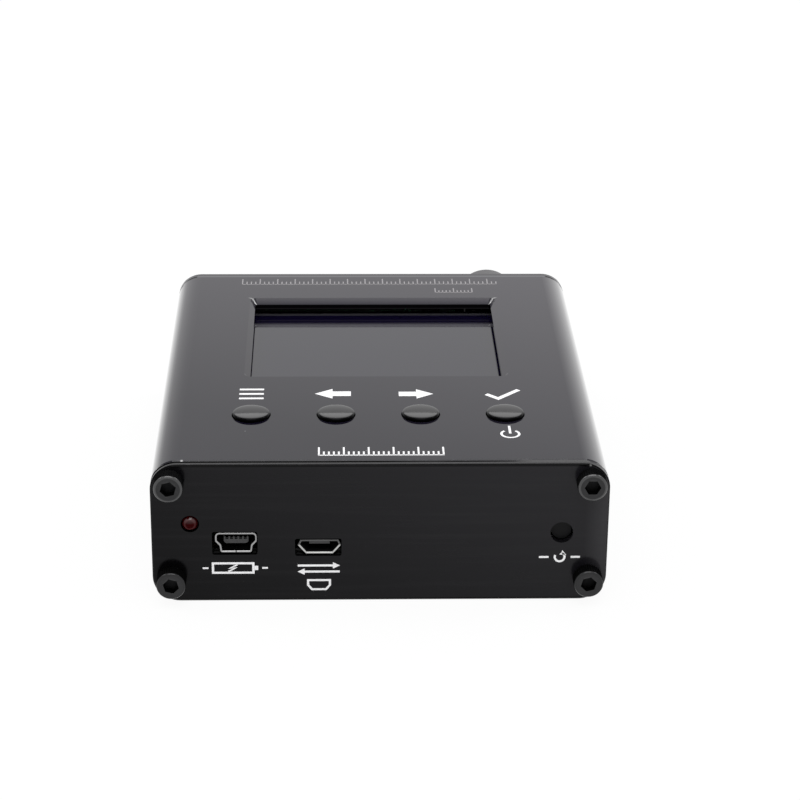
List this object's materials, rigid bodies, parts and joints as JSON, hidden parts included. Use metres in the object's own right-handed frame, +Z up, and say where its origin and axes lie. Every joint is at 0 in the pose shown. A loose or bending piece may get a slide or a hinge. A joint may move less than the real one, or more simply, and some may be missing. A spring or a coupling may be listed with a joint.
{
  "type": "antenna analyzer",
  "caption": "Pocket antenna analyzer in a black metal case with a recessed display, push keys, front sockets, a lamp, a reset button and a capped RF port.",
  "frame": {"origin": "middle of the case's flat underside", "axes": "+X to the right when the front plate faces the viewer, +Y from the front plate to the RF port, +Z up through the display"},
  "size_m": [0.08, 0.1123, 0.0275],
  "materials": {
    "case_black": "fine satin black anodising",
    "plate_black": "satin black anodising over a fine brushed grain",
    "screw_black": "black oxide steel",
    "key_black": "smooth black plastic",
    "plastic_white": "moulded",
    "plastic_black": "moulded",
    "steel_bright": "satin",
    "pin_tin": "tinned",
    "display_face": "dark polarizing film",
    "display_glass": "dark bonded glass",
    "chip_black": "moulded package",
    "flex_amber": "polyimide film",
    "foam_grey": "soft foam",
    "board_green": "solder mask",
    "brass": "plated",
    "lamp_red": "tinted clear plastic",
    "nickel": "nickel plated",
    "cap_grey": "soft dark plastic",
    "battery_silver": "foil pouch",
    "wire_red": "insulated wire"
  },
  "bodies": {
    "case": {"case_tube": "case_black", "front_plate": "plate_black", "rear_plate": "plate_black", "front_screws": "screw_black", "rear_screws": "screw_black", "switch_bases": "plastic_black", "switch_covers": "steel_bright", "switch_domes": "steel_bright", "switch_legs": "pin_tin", "display_polarizer": "display_face", "display_glass": "display_glass", "display_backlight": "plastic_white", "display_driver_chip": "chip_black", "display_flex": "flex_amber", "display_pad": "foam_grey", "display_board": "board_green", "main_board": "board_green", "board_spacers": "brass", "display_board_screws": "steel_bright", "main_board_screws": "steel_bright", "link_socket": "plastic_black", "link_header": "plastic_black", "link_pins": "brass", "charging_socket_shell": "steel_bright", "charging_socket_insert": "plastic_black", "charging_socket_contacts": "brass", "data_socket_shell": "steel_bright", "data_socket_insert": "plastic_black", "data_socket_contacts": "brass", "charge_lamp": "lamp_red", "charge_lamp_legs": "pin_tin", "rf_jack_body": "nickel", "rf_jack_insulator": "plastic_white", "rf_jack_contact": "brass", "rf_jack_nut": "nickel", "rf_jack_washer": "nickel", "rf_shield_fence": "pin_tin", "rf_shield_lid": "pin_tin", "rf_chips": "chip_black", "processor_chip": "chip_black", "charger_chip": "chip_black", "battery_cell": "battery_silver", "battery_protection_board": "board_green", "battery_pad": "foam_grey", "battery_leads": "wire_red", "battery_plug": "plastic_white", "battery_socket": "plastic_white"},
    "key_menu": {"key_cap_menu": "key_black", "key_plunger_menu": "plastic_white"},
    "key_left": {"key_cap_left": "key_black", "key_plunger_left": "plastic_white"},
    "key_right": {"key_cap_right": "key_black", "key_plunger_right": "plastic_white"},
    "key_ok": {"key_cap_ok": "key_black", "key_plunger_ok": "plastic_white"},
    "reset_button": {"reset_plunger": "plastic_black"},
    "rf_cap": {"rf_jack_cap": "cap_grey"}
  },
  "joints": [
    {"name": "key_menu_press", "type": "slide", "parent": "case", "child": "key_menu", "axis": [0, 0, -1], "range_m": [0, 0.00025], "stiffness_N_per_m": 4000, "springref_m": -0.0002},
    {"name": "key_left_press", "type": "slide", "parent": "case", "child": "key_left", "axis": [0, 0, -1], "range_m": [0, 0.00025], "stiffness_N_per_m": 4000, "springref_m": -0.0002},
    {"name": "key_right_press", "type": "slide", "parent": "case", "child": "key_right", "axis": [0, 0, -1], "range_m": [0, 0.00025], "stiffness_N_per_m": 4000, "springref_m": -0.0002},
    {"name": "key_ok_press", "type": "slide", "parent": "case", "child": "key_ok", "axis": [0, 0, -1], "range_m": [0, 0.00025], "stiffness_N_per_m": 4000, "springref_m": -0.0002},
    {"name": "reset_press", "type": "slide", "parent": "case", "child": "reset_button", "axis": [0, 1, 0], "range_m": [0, 0.00025], "stiffness_N_per_m": 4000, "springref_m": -0.0002},
    {"name": "rf_cap_pull", "type": "slide", "parent": "case", "child": "rf_cap", "axis": [0, 1, 0], "range_m": [0, 0.014]}
  ]
}
